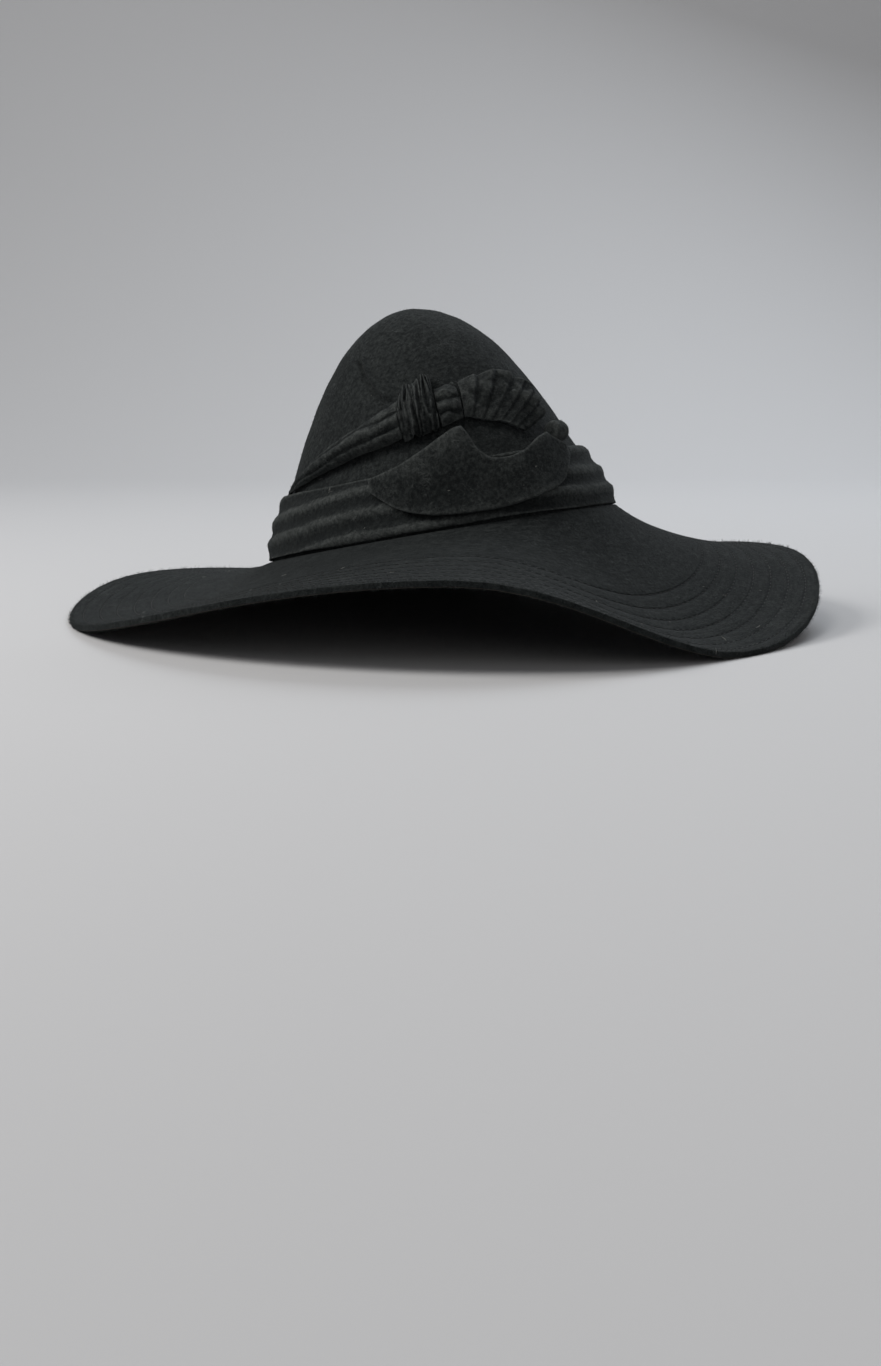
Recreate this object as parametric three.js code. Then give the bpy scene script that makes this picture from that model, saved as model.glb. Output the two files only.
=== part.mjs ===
import * as THREE from "three";

// The hat rests on its brim, in millimetres: +Z is up, the wearer's front is -Y and the wearer's left is +X.
// A turn is an angle in degrees round the crown, from the front towards the wearer's left.

// Felt and seams
const BRIM_FELT = 3;
const CROWN_FELT = 2.4;
const TRIM_FELT = 1.6;
const SEAM_GAP = 0.3;

// Brim
const BRIM_HALF_SIDE = 178;
const BRIM_HALF_LENGTH = 188;
const BRIM_COLUMNS = 72;
const BRIM_HOLLOW = 2;
const REST_PRESS = 0.5;
const BRIM_ROWS = [0, 0.06, 0.14, 0.25, 0.38, 0.52, 0.66, 0.8, 0.93, 1];

// Each low and high place of the brim's outline, and how far its underside rises from the floor there
const BRIM_WAVES = [
  { turn: -120, rise: 0 },
  { turn: -40, rise: 37 },
  { turn: 6, rise: 0 },
  { turn: 64, rise: 28 },
  { turn: 150, rise: 0 },
  { turn: 200, rise: 8 },
];

// Crown: a dome on an oval head opening that leans back from the raised front
const HEAD_HALF_SIDE = 78;
const HEAD_HALF_LENGTH = 95;
const HEAD_HEIGHT = 39;
const LEAN_BACK = 11;
const LEAN_SIDE = 3;
const CROWN_HEIGHT = 112;
const CROWN_TOP_LEFT = 0.9;
const CROWN_TOP_FORWARD = 1.5;

// The dome's side, from the head opening to the top, as shares of the opening's radius and the height
const CROWN_PROFILE = [
  { radius: 1, height: -0.013 },
  { radius: 0.985, height: 0.03 },
  { radius: 0.935, height: 0.12 },
  { radius: 0.87, height: 0.23 },
  { radius: 0.8, height: 0.34 },
  { radius: 0.735, height: 0.45 },
  { radius: 0.665, height: 0.55 },
  { radius: 0.59, height: 0.65 },
  { radius: 0.51, height: 0.745 },
  { radius: 0.42, height: 0.83 },
  { radius: 0.31, height: 0.91 },
  { radius: 0.18, height: 0.968 },
  { radius: 0.07, height: 0.994 },
  { radius: 0, height: 1 },
];
const CROWN_STEP = 7.5;
const CROWN_ROWS = 15;

// The sewn tuck on the crown's side: a furrow with a raised lip above it
const TUCK = { fromTurn: -84, fromUp: 92, toTurn: -62, toUp: 71, reach: 4.5, lip: 5, depth: 1.2, fineStep: 3.75 };

// Trim: places on the crown's side are a turn, a height above the band's top edge and a distance out from the felt
const SEATED = SEAM_GAP + TRIM_FELT / 2;
const BAND_FOOT = 2.6;
const BAND_TOP = 30;
const BAND_BULGE = 1.5;
const OVER_BAND = SEATED + BAND_BULGE + TRIM_FELT + SEAM_GAP;

const SIDE_LOOP = {
  from: { turn: -118, foot: 1, top: 3.5 },
  to: { turn: -54.2, foot: 15, top: 32 },
  bulge: 6,
};

const PUFF = {
  from: { turn: -53.5, foot: 14, top: 38 },
  to: { turn: -39, foot: 17, top: 43 },
  bulge: 10,
  gathers: 6,
  gatherDepth: 0.9,
};

const SMALL_LOOP = {
  from: { turn: -38.2, foot: 17, top: 34 },
  to: { turn: -28.8, foot: 20, top: 37 },
  bulge: 5.5,
};

// Ribs between the fan's pleats, from the small loop to the rolled end. The felt bulges beside the small loop, and
// each pleat reaches past its neighbours or falls short of them.
const FAN_RIBS = [
  { innerTurn: -28, innerUp: 20.5, outerTurn: -26, outerUp: 37, outerOut: 0.4, bulge: 3.6 },
  { innerTurn: -24.5, innerUp: 19.5, outerTurn: -15.5, outerUp: 38.5, outerOut: 1.5, bulge: 2.8 },
  { innerTurn: -20.5, innerUp: 18, outerTurn: -6, outerUp: 38, outerOut: 3.2, bulge: 1.8 },
  { innerTurn: -17, innerUp: 17, outerTurn: 2, outerUp: 34, outerOut: 4.6, bulge: 1 },
  { innerTurn: -13, innerUp: 15.5, outerTurn: 7, outerUp: 31, outerOut: 4.8, bulge: 0.5 },
  { innerTurn: -10, innerUp: 13.3, outerTurn: 8, outerUp: 25.5, outerOut: 4.2, bulge: 0.5 },
  { innerTurn: -7.5, innerUp: 11.6, outerTurn: 7.5, outerUp: 20, outerOut: 3.4, bulge: 0.5 },
  { innerTurn: -4, innerUp: 10, outerTurn: 8.5, outerUp: 15, outerOut: 2.4, bulge: 0.3 },
];
const FAN_REACH = [0.97, 0.95, 1, 0.96, 1.06, 1.02, 0.95, 1.04];
const FAN_PLEATS = 7;
const FAN_PLEAT_DEPTH = 2.2;

// The front fold hangs over the band: it stands out under the puff, curls back at its corner and dips into a notch
const FRONT_FOLD = [
  { turn: -66, foot: -8, top: -3, out: 5.2 },
  { turn: -58, foot: -17, top: -2.5, out: 8 },
  { turn: -52, foot: -21, top: -1, out: 11 },
  { turn: -46, foot: -23.5, top: 2.5, out: 12 },
  { turn: -40, foot: -24.5, top: 6.5, out: 12.4 },
  { turn: -35, foot: -25, top: 10, out: 12 },
  { turn: -32, foot: -25, top: 11, out: 10.8 },
  { turn: -30.2, foot: -25, top: 7, out: 9.4 },
  { turn: -28.5, foot: -25, top: 0.5, out: 8.4 },
  { turn: -25, foot: -24.5, top: -4, out: 7.6 },
  { turn: -19, foot: -24, top: -5, out: 7.2 },
  { turn: -12, foot: -22.5, top: -2.5, out: 7.4 },
  { turn: -5, foot: -20, top: 2.5, out: 7.4 },
  { turn: 0, foot: -17, top: 4.5, out: 7 },
  { turn: 4, foot: -12, top: 1.5, out: 6 },
  { turn: 9, foot: -6, top: -1.5, out: 5 },
];

const ROLL = { turn: 9, up: 6, radius: 5, length: 9, rounding: 1.8 };

const FELT_COLOUR = 0x1b1e1e;
const FELT_ROUGHNESS = 0.95;

const radians = THREE.MathUtils.degToRad;

function ease(share) {
  return 0.5 - 0.5 * Math.cos(Math.PI * THREE.MathUtils.clamp(share, 0, 1));
}

function mix(from, to, share) {
  return from + (to - from) * share;
}

function arch(share) {
  return Math.sin(Math.PI * THREE.MathUtils.clamp(share, 0, 1));
}

// Shares from 0 to 1 in this many steps
function steps(count) {
  return Array.from({ length: count + 1 }, (_, i) => i / count);
}

// The frame of the crown: its base lies in the head opening, and its axis leans with it
const crownTurn = new THREE.Quaternion().setFromEuler(
  new THREE.Euler(radians(-LEAN_BACK), radians(-LEAN_SIDE), 0),
);
const crownBase = new THREE.Vector3(0, 0, HEAD_HEIGHT);
const crownAxis = new THREE.Vector3(0, 0, 1).applyQuaternion(crownTurn);

const crownProfile = new THREE.SplineCurve(
  CROWN_PROFILE.map((row) => new THREE.Vector2(row.radius, row.height)),
);

// The share of the profile's rows at which it is this far up the crown's axis
function stationAt(up) {
  let low = 0;
  let high = 1;
  for (let i = 0; i < 40; i += 1) {
    const middle = (low + high) / 2;
    if (crownProfile.getPoint(middle).y * CROWN_HEIGHT < up) {
      low = middle;
    } else {
      high = middle;
    }
  }
  return low;
}

// A point of the plain dome in the crown's own frame
function plainDome(turn, station) {
  const angle = radians(turn);
  const profile = crownProfile.getPoint(THREE.MathUtils.clamp(station, 0, 1));
  return new THREE.Vector3(
    HEAD_HALF_SIDE * profile.x * Math.sin(angle) + CROWN_TOP_LEFT * profile.y,
    -HEAD_HALF_LENGTH * profile.x * Math.cos(angle) - CROWN_TOP_FORWARD * profile.y,
    CROWN_HEIGHT * profile.y,
  );
}

function domeNormal(turn, station) {
  if (station >= 1) {
    return new THREE.Vector3(0, 0, 1);
  }
  const around = 1;
  const along = 0.04;
  const east = plainDome(turn + around, station).sub(plainDome(turn - around, station));
  const north = plainDome(turn, station + along).sub(plainDome(turn, station - along));
  return east.cross(north).normalize();
}

// How far the tuck lifts or sinks the felt at a place on the dome
function tuckLift(turn, up, girth) {
  const from = new THREE.Vector2(radians(TUCK.fromTurn) * girth, TUCK.fromUp);
  const line = new THREE.Vector2(radians(TUCK.toTurn) * girth, TUCK.toUp).sub(from);
  const place = new THREE.Vector2(radians(turn) * girth, up).sub(from);
  const share = place.dot(line) / line.lengthSq();
  const off = place.cross(line) / -line.length();
  const fade = arch(share) ** 0.5;
  const furrow = Math.exp(-((off / TUCK.reach) ** 2));
  const lip = Math.exp(-(((off - TUCK.lip) / TUCK.reach) ** 2));
  return TUCK.depth * fade * (lip - furrow);
}

// A point of the crown's outer surface in its own frame
function domePoint(turn, station) {
  const point = plainDome(turn, station);
  const signed = ((turn + 540) % 360) - 180;
  const lift = tuckLift(signed, point.z, Math.hypot(point.x, point.y));
  return point.addScaledVector(domeNormal(turn, station), lift);
}

function placed(point) {
  return point.applyQuaternion(crownTurn).add(crownBase);
}

// A closed wall: inner and outer faces over a grid of places, joined round its rims.
// A ring of columns is closed, and a pole row holds a single point.
function wallGeometry(outer, inner, closed, pole) {
  const rows = outer.length;
  const columns = outer[0].length;
  const points = [];
  const faces = [];
  const number = [outer, inner].map((side) =>
    side.map((row) =>
      row.map((point) => {
        points.push(point.x, point.y, point.z);
        return points.length / 3 - 1;
      }),
    ),
  );
  const spans = closed ? columns : columns - 1;
  const quad = (a, b, c, d) => faces.push(a, b, c, a, c, d);
  for (let r = 0; r < rows - 1; r += 1) {
    for (let c = 0; c < spans; c += 1) {
      const n = (c + 1) % columns;
      const [o, i] = number;
      if (pole && r === rows - 2) {
        faces.push(o[r][c], o[r][n], o[rows - 1][0]);
        faces.push(i[r][n], i[r][c], i[rows - 1][0]);
      } else {
        quad(o[r][c], o[r][n], o[r + 1][n], o[r + 1][c]);
        quad(i[r][n], i[r][c], i[r + 1][c], i[r + 1][n]);
      }
    }
  }
  for (let c = 0; c < spans; c += 1) {
    const n = (c + 1) % columns;
    const [o, i] = number;
    quad(i[0][c], i[0][n], o[0][n], o[0][c]);
    if (!pole) {
      quad(o[rows - 1][c], o[rows - 1][n], i[rows - 1][n], i[rows - 1][c]);
    }
  }
  if (!closed) {
    for (let r = 0; r < rows - 1; r += 1) {
      const [o, i] = number;
      const e = columns - 1;
      quad(i[r][0], o[r][0], o[r + 1][0], i[r + 1][0]);
      quad(o[r][e], i[r][e], i[r + 1][e], o[r + 1][e]);
    }
  }
  const geometry = new THREE.BufferGeometry();
  geometry.setAttribute("position", new THREE.Float32BufferAttribute(points, 3));
  geometry.setIndex(faces);
  geometry.computeVertexNormals();
  return geometry;
}

function felt(name, geometry) {
  const material = new THREE.MeshStandardMaterial({
    color: FELT_COLOUR,
    roughness: FELT_ROUGHNESS,
    metalness: 0,
  });
  const mesh = new THREE.Mesh(geometry, material);
  mesh.name = name;
  return mesh;
}

// How far the brim's underside rises from the floor at its outline
function outlineRise(turn) {
  const count = BRIM_WAVES.length;
  for (let i = 0; i < count; i += 1) {
    const here = BRIM_WAVES[i];
    const next = BRIM_WAVES[(i + 1) % count];
    const span = (next.turn - here.turn + 360) % 360;
    const along = (turn - here.turn + 720) % 360;
    if (along <= span) {
      return mix(here.rise, next.rise, ease(along / span));
    }
  }
  return 0;
}

// The brim's underside and upper side at a turn, across its width from the head opening to the outline
function brimPair(turn, across) {
  const angle = radians(turn);
  const root = placed(
    new THREE.Vector3(
      (HEAD_HALF_SIDE + SEAM_GAP) * Math.sin(angle),
      -(HEAD_HALF_LENGTH + SEAM_GAP) * Math.cos(angle),
      -BRIM_FELT / 2,
    ),
  );
  const edge = new THREE.Vector3(
    BRIM_HALF_SIDE * Math.sin(angle),
    -BRIM_HALF_LENGTH * Math.cos(angle),
    outlineRise(turn) - REST_PRESS,
  );
  const under = new THREE.Vector3().lerpVectors(root, edge, across);
  under.z = mix(edge.z, root.z, (1 - across) ** BRIM_HOLLOW);
  const up = new THREE.Vector3().lerpVectors(crownAxis, new THREE.Vector3(0, 0, 1), across);
  const upper = under.clone().addScaledVector(up.normalize(), BRIM_FELT);
  under.z = Math.max(under.z, 0);
  return { under, upper };
}

function brim() {
  const turns = steps(BRIM_COLUMNS).slice(0, -1).map((share) => 360 * share);
  const grid = BRIM_ROWS.map((across) => turns.map((turn) => brimPair(turn, across)));
  const under = grid.map((row) => row.map((pair) => pair.under));
  const upper = grid.map((row) => row.map((pair) => pair.upper));
  return felt("brim", wallGeometry(under, upper, true, false));
}

function crown() {
  const coarse = steps(Math.round(360 / CROWN_STEP)).slice(0, -1).map((share) => 360 * share);
  const fine = steps(Math.round(360 / TUCK.fineStep)).slice(0, -1).map((share) => 360 * share);
  const near = fine.filter((turn) => turn - 360 > TUCK.fromTurn - 8 && turn - 360 < TUCK.toTurn + 8);
  const turns = [...new Set([...coarse, ...near])].sort((a, b) => a - b);
  const outer = [];
  const inner = [];
  for (const station of steps(CROWN_ROWS)) {
    const row = station === 1 ? [0] : turns;
    outer.push(row.map((turn) => placed(domePoint(turn, station))));
    inner.push(row.map((turn) =>
      placed(domePoint(turn, station).addScaledVector(domeNormal(turn, station), -CROWN_FELT)),
    ));
  }
  return felt("crown", wallGeometry(outer, inner, true, true));
}

// A point off the crown's side, in the hat's frame
function trimPoint({ turn, up, out }) {
  const station = stationAt(up);
  return placed(plainDome(turn, station).addScaledVector(domeNormal(turn, station), out));
}

// A sheet of trim felt: place gives its middle surface at a share along and a share across
function sheet(name, along, across, place, closed = false) {
  const middle = across.map((v) => along.map((u) => trimPoint(place(u, v))));
  const columns = along.length;
  const side = (distance) =>
    middle.map((row, r) =>
      row.map((point, c) => {
        const before = closed ? (c + columns - 1) % columns : Math.max(c - 1, 0);
        const after = closed ? (c + 1) % columns : Math.min(c + 1, columns - 1);
        const east = row[after].clone().sub(row[before]);
        const above = middle[Math.min(r + 1, across.length - 1)][c];
        const north = above.clone().sub(middle[Math.max(r - 1, 0)][c]);
        return point.clone().addScaledVector(east.cross(north).normalize(), distance);
      }),
    );
  const half = TRIM_FELT / 2;
  return felt(name, wallGeometry(side(half), side(-half), closed, false));
}

function crownBand() {
  const turns = steps(Math.round(360 / CROWN_STEP)).slice(0, -1);
  const across = [0, 0.2, 0.5, 0.8, 1];
  return sheet("crown_band", turns, across, (u, v) => ({
    turn: 360 * u,
    up: mix(BAND_FOOT, BAND_TOP, v),
    out: SEATED + BAND_BULGE * arch(v),
  }), true);
}

// A loop of felt whose two long edges are sewn to the crown and whose middle stands out
function loop(name, shape, along, fullness, ripple) {
  return sheet(name, along, steps(7), (u, v) => ({
    turn: mix(shape.from.turn, shape.to.turn, u),
    up: BAND_TOP + mix(mix(shape.from.foot, shape.to.foot, u), mix(shape.from.top, shape.to.top, u), v),
    out: SEATED + arch(v) ** 0.7 * (shape.bulge * fullness(u) + ripple(u)),
  }));
}

function sideLoop() {
  const along = steps(10);
  return loop("side_loop", SIDE_LOOP, along, (u) => arch(0.65 * u), () => 0);
}

function gatheredPuff() {
  const along = steps(3 * PUFF.gathers);
  const ripple = (u) => PUFF.gatherDepth * Math.sin(2 * Math.PI * PUFF.gathers * u);
  return loop("gathered_puff", PUFF, along, (u) => 0.6 + 0.4 * arch(u), ripple);
}

function smallLoop() {
  return loop("small_loop", SMALL_LOOP, steps(6), (u) => 0.7 + 0.3 * arch(u), () => 0);
}

// A value of a table's column at a share of the way through its rows
function tableAt(table, column, share) {
  const last = table.length - 1;
  const index = Math.min(Math.floor(share * last), last - 1);
  return mix(table[index][column], table[index + 1][column], share * last - index);
}

function pleatedFan() {
  const along = steps(4 * FAN_PLEATS);
  return sheet("pleated_fan", along, steps(4), (u, v) => {
    const fold = (u * FAN_PLEATS) % 1;
    const pleat = fold < 0.7 ? fold / 0.7 : (1 - fold) / 0.3;
    const number = Math.min(Math.floor(u * FAN_PLEATS), FAN_PLEATS - 1);
    const ahead = fold > 0.7 ? (fold - 0.7) / 0.3 : 0;
    const reach = v * mix(FAN_REACH[number], FAN_REACH[number + 1], ahead);
    const bulge = tableAt(FAN_RIBS, "bulge", u) * arch(v) ** 0.7;
    return {
      turn: mix(tableAt(FAN_RIBS, "innerTurn", u), tableAt(FAN_RIBS, "outerTurn", u), reach),
      up: BAND_TOP + mix(tableAt(FAN_RIBS, "innerUp", u), tableAt(FAN_RIBS, "outerUp", u), reach),
      out: SEATED + tableAt(FAN_RIBS, "outerOut", u) * v + bulge + FAN_PLEAT_DEPTH * pleat * (0.3 + 0.7 * v),
    };
  });
}

function frontFold() {
  const along = steps(2 * (FRONT_FOLD.length - 1));
  return sheet("front_fold", along, steps(5), (u, v) => ({
    turn: tableAt(FRONT_FOLD, "turn", u),
    up: BAND_TOP + mix(tableAt(FRONT_FOLD, "foot", u), tableAt(FRONT_FOLD, "top", u), v),
    out: mix(OVER_BAND, Math.max(tableAt(FRONT_FOLD, "out", u), OVER_BAND), ease(v)),
  }));
}

// The wound end of the trim: a short roll with rounded ends that lies round the crown
function rolledEnd() {
  const half = ROLL.length / 2;
  const flat = half - ROLL.rounding;
  const corner = (1 - Math.SQRT1_2) * ROLL.rounding;
  const outline = [
    [0, -half],
    [ROLL.radius - ROLL.rounding, -half],
    [ROLL.radius - corner, -half + corner],
    [ROLL.radius, -flat],
    [ROLL.radius, flat],
    [ROLL.radius - corner, half - corner],
    [ROLL.radius - ROLL.rounding, half],
    [0, half],
  ].map(([x, y]) => new THREE.Vector2(x, y));
  const geometry = new THREE.LatheGeometry(outline, 20);
  const up = BAND_TOP + ROLL.up;
  const out = SEAM_GAP + ROLL.radius;
  const centre = trimPoint({ turn: ROLL.turn, up, out });
  const ahead = trimPoint({ turn: ROLL.turn + 1, up, out }).sub(centre).normalize();
  const turned = new THREE.Quaternion().setFromUnitVectors(new THREE.Vector3(0, 1, 0), ahead);
  geometry.applyQuaternion(turned).translate(centre.x, centre.y, centre.z);
  return felt("rolled_end", geometry);
}

const hat = new THREE.Group();
hat.add(crown(), brim(), crownBand(), sideLoop(), gatheredPuff(), smallLoop(), pleatedFan());
hat.add(frontFold(), rolledEnd());
export default hat;
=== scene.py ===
"""A black felt tilt hat that rests on its waved brim: felt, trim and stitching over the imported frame."""
import math
import random
import bpy
import numpy
from mathutils import Matrix, Vector, noise
from mathutils.bvhtree import BVHTree


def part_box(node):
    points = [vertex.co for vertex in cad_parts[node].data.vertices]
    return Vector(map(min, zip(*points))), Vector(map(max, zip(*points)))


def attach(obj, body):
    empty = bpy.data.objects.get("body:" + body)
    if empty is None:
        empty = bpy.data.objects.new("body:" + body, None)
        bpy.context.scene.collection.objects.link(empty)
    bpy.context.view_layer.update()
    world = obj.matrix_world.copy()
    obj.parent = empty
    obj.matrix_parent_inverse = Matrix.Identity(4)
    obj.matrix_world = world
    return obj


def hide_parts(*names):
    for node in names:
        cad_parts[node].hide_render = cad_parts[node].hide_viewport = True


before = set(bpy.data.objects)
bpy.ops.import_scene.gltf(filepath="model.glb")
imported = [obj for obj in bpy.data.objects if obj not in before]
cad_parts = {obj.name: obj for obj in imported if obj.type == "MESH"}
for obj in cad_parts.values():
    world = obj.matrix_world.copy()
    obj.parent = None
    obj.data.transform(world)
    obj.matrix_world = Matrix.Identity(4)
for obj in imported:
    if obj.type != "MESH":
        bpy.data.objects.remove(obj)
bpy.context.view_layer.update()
bpy.ops.object.select_all(action="DESELECT")

# Camera
# It looks at the hat's right front, as the photograph does, but from just above the floor that the hat
# rests on. Its lens is worked out from the focal length that was fitted to the photograph, in pixels.
PHOTO_LONG_SIDE = 1366
FOCAL_PIXELS = 2093
SENSOR_LENGTH = 36
CAMERA_TURN = math.radians(-40)
CAMERA_RISE = math.radians(5)
CAMERA_DISTANCE = 1.03
CAMERA_AIM_HEIGHT = 0.05
CAMERA_TILT = math.radians(4.6)

camera_data = bpy.data.cameras.new("camera")
camera_data.sensor_fit = "AUTO"
camera_data.sensor_width = SENSOR_LENGTH
camera_data.lens = SENSOR_LENGTH * FOCAL_PIXELS / PHOTO_LONG_SIDE
camera = bpy.data.objects.new("camera", camera_data)
bpy.context.scene.collection.objects.link(camera)
level_distance = CAMERA_DISTANCE * math.cos(CAMERA_RISE)
camera.location = (
    level_distance * math.sin(CAMERA_TURN),
    -level_distance * math.cos(CAMERA_TURN),
    CAMERA_AIM_HEIGHT + CAMERA_DISTANCE * math.sin(CAMERA_RISE),
)
camera.rotation_euler = (math.pi / 2 - CAMERA_RISE - CAMERA_TILT, 0, CAMERA_TURN)
bpy.context.scene.camera = camera
bpy.context.scene.view_settings.view_transform = "Standard"


# Floor and light
# A sweep of pale matt paper, which is a floor that curves up into a wall behind the hat. Four large soft
# lamps and a faint even sky light it.
class Cloth:
    """A material whose nodes are added one by one, each with its settings first and then its sockets."""

    def __init__(self, name):
        self.material = bpy.data.materials.new(name)
        self.material.use_nodes = True
        self.tree = self.material.node_tree
        self.shader = self.tree.nodes["Principled BSDF"]

    def node(self, kind, settings=None, inputs=None, output=0):
        made = self.tree.nodes.new(kind)
        for key, value in (settings or {}).items():
            setattr(made, key, value)
        for key, value in (inputs or {}).items():
            self.feed(made.inputs[key], value)
        return Varying(self, made.outputs[output])

    def feed(self, socket, value):
        if isinstance(value, Varying):
            self.tree.links.new(value.socket, socket)
        else:
            socket.default_value = value

    def set(self, **sockets):
        for name, value in sockets.items():
            self.feed(self.shader.inputs[name.replace("_", " ")], value)


class Varying:
    """A value that varies over a surface. Python's operators add Math nodes to it."""

    def __init__(self, cloth, socket):
        self.cloth = cloth
        self.socket = socket

    def math(self, operation, first, second=0.0, clamp=False):
        settings = {"operation": operation, "use_clamp": clamp}
        return self.cloth.node("ShaderNodeMath", settings, {0: first, 1: second})

    def __add__(self, other):
        return self.math("ADD", self, other)

    def __mul__(self, other):
        return self.math("MULTIPLY", self, other)

    def __sub__(self, other):
        return self.math("SUBTRACT", self, other)

    def __rsub__(self, other):
        return self.math("SUBTRACT", other, self)

    def __truediv__(self, other):
        return self.math("DIVIDE", self, other)

    def __pow__(self, power):
        return self.math("POWER", self, power)

    def __abs__(self):
        return self.math("ABSOLUTE", self)

    def clamped(self):
        return self.math("ADD", self, 0.0, clamp=True)

    __radd__ = __add__
    __rmul__ = __mul__


FLOOR_COLOUR = (0.5, 0.5, 0.508, 1)
FLOOR_ROUGHNESS = 0.7
FLOOR_SHINE = 0.2
FLOOR_HALF_WIDTH = 3.0
FLOOR_FRONT = 2.6
FLOOR_BACK = 0.9
SWEEP_RADIUS = 0.8
SWEEP_STEPS = 24
SWEEP_JOIN = 1e-5
WALL_HEIGHT = 2.6
SKY_COLOUR = (0.78, 0.8, 0.84, 1)
SKY_STRENGTH = 0.24

bpy.ops.mesh.primitive_plane_add(size=1, location=(0, 0, 0))
floor = bpy.context.object
floor.name = "floor_sweep"
floor.scale = (2 * FLOOR_HALF_WIDTH, FLOOR_FRONT + FLOOR_BACK, 1)
floor.location = (0, (FLOOR_BACK - FLOOR_FRONT) / 2, 0)
bpy.ops.object.transform_apply(location=True, rotation=True, scale=True)
bpy.ops.object.mode_set(mode="EDIT")
bpy.ops.mesh.select_all(action="DESELECT")
bpy.ops.object.mode_set(mode="OBJECT")
for edge in floor.data.edges:
    edge.select = all(floor.data.vertices[i].co.y > 0 for i in edge.vertices)
bpy.ops.object.mode_set(mode="EDIT")
bpy.ops.mesh.select_mode(type="EDGE")
bpy.ops.mesh.spin(
    steps=SWEEP_STEPS, angle=math.pi / 2, center=(0, FLOOR_BACK, SWEEP_RADIUS), axis=(-1, 0, 0),
)
bpy.ops.mesh.extrude_region_move(TRANSFORM_OT_translate={"value": (0, 0, WALL_HEIGHT)})
bpy.ops.mesh.select_all(action="SELECT")
bpy.ops.mesh.remove_doubles(threshold=SWEEP_JOIN)
bpy.ops.mesh.normals_make_consistent(inside=False)
bpy.ops.object.mode_set(mode="OBJECT")
bpy.ops.object.shade_smooth()
floor.rotation_euler = (0, 0, CAMERA_TURN)
bpy.ops.object.transform_apply(rotation=True)
paper = Cloth("pale_paper")
paper.set(Base_Color=FLOOR_COLOUR, Roughness=FLOOR_ROUGHNESS, Specular_IOR_Level=FLOOR_SHINE)
floor.data.materials.append(paper.material)

world = bpy.data.worlds.new("studio")
world.use_nodes = True
world.node_tree.nodes["Background"].inputs["Color"].default_value = SKY_COLOUR
world.node_tree.nodes["Background"].inputs["Strength"].default_value = SKY_STRENGTH
bpy.context.scene.world = world

LAMPS = (
    {"name": "window", "turn": -120, "rise": 42, "distance": 1.7, "size": 0.7, "watts": 18.5,
     "colour": (1, 0.98, 0.95)},
    {"name": "overhead", "turn": -84, "rise": 66, "distance": 1.6, "size": 0.6, "watts": 6,
     "colour": (1, 0.98, 0.95)},
    {"name": "front_fill", "turn": -12, "rise": 22, "distance": 2.0, "size": 1.3, "watts": 5,
     "colour": (1, 0.97, 0.93)},
    {"name": "back_rim", "turn": 112, "rise": 46, "distance": 1.5, "size": 0.9, "watts": 11,
     "colour": (0.9, 0.95, 1)},
)
for lamp in LAMPS:
    lamp_data = bpy.data.lights.new(lamp["name"], "AREA")
    lamp_data.shape = "SQUARE"
    lamp_data.size = lamp["size"]
    lamp_data.energy = lamp["watts"]
    lamp_data.color = lamp["colour"]
    lamp_object = bpy.data.objects.new(lamp["name"], lamp_data)
    bpy.context.scene.collection.objects.link(lamp_object)
    turn, rise = math.radians(lamp["turn"]), math.radians(lamp["rise"])
    outward = Vector((math.sin(turn) * math.cos(rise), -math.cos(turn) * math.cos(rise), math.sin(rise)))
    lamp_object.location = outward * lamp["distance"]
    lamp_object.rotation_euler = outward.to_track_quat("Z", "Y").to_euler()

# Brim
# A ring of thick wool felt, blocked into waves and sewn to the crown's foot. Seven rows of machine
# stitching run round beside its cut edge and draw the felt in a little. Its underside is the same black
# felt with painted light: lighter and warmer than the top, for warm light bounced up onto it.
TOP_FELT = (0.0042, 0.0056, 0.0058)
# Painted light: the underside's felt and fibre colours are the top's black felt made lighter and warmer, for
# warm bounce light
UNDER_FELT_WITH_PAINTED_BOUNCE = (0.02, 0.0178, 0.015)
FELT_FIBRE = (0.046, 0.051, 0.05)
UNDER_FIBRE_WITH_PAINTED_BOUNCE = (0.07, 0.064, 0.056)
FELT_ROUGHNESS = 0.95
FELT_SHINE = 0.15
FELT_SHEEN = 0.03
SHEEN_ROUGHNESS = 0.5
SHEEN_TINT = (0.8, 0.9, 0.95, 1)

# The felt's grain: how many of each mark there are to a metre, and how rough or curled they are
TUFTS = {"Scale": 520.0, "Detail": 5.0, "Roughness": 0.7}
CLOUDS = {"Scale": 34.0, "Detail": 3.0, "Roughness": 0.55}
COARSE_STRANDS = {"Scale": 210.0, "Detail": 1.0, "Distortion": 1.4}
FINE_STRANDS = {"Scale": 330.0, "Detail": 1.0, "Distortion": 2.2}
LINT_PATCHES = {"Scale": 95.0, "Detail": 2.0}
BRUSHED_STREAKS = {"Scale": 700.0, "Detail": 3.0, "Roughness": 0.6}

# Where each mark's noise is level, how strongly it shows, and how high it stands as a share of the relief
TUFT_LEVEL = 0.42
TUFT_CONTRAST = 4.2
TUFT_HEIGHT = 0.8
CLOUD_LEVEL = 0.5
CLOUD_CONTRAST = 0.9
COARSE_LEVEL = 0.5
COARSE_THINNESS = 46
FINE_LEVEL = 0.52
FINE_THINNESS = 40
STRAND_HEIGHT = 0.25
STRAND_SHADE = 0.12
PATCH_LEVEL = 0.5
PATCH_CONTRAST = 6
LINT_SHADE = 0.5
STREAK_LEVEL = 0.46
STREAK_CONTRAST = 1.7
STREAK_HEIGHT = 0.5
MOTTLE_SHADE = 0.45
MOTTLE_WHERE_BRUSHED = 0.55
# How much painted shade falls in the valleys between folds, and how much painted highlight lies on their
# ridges
PAINTED_VALLEY_SHADE = 0.1
PAINTED_RIDGE_LIGHT = 1.5
PAINTED_HIGHLIGHT_FROM = 0.6
PAINTED_HIGHLIGHT_GAIN = 1.1

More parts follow.
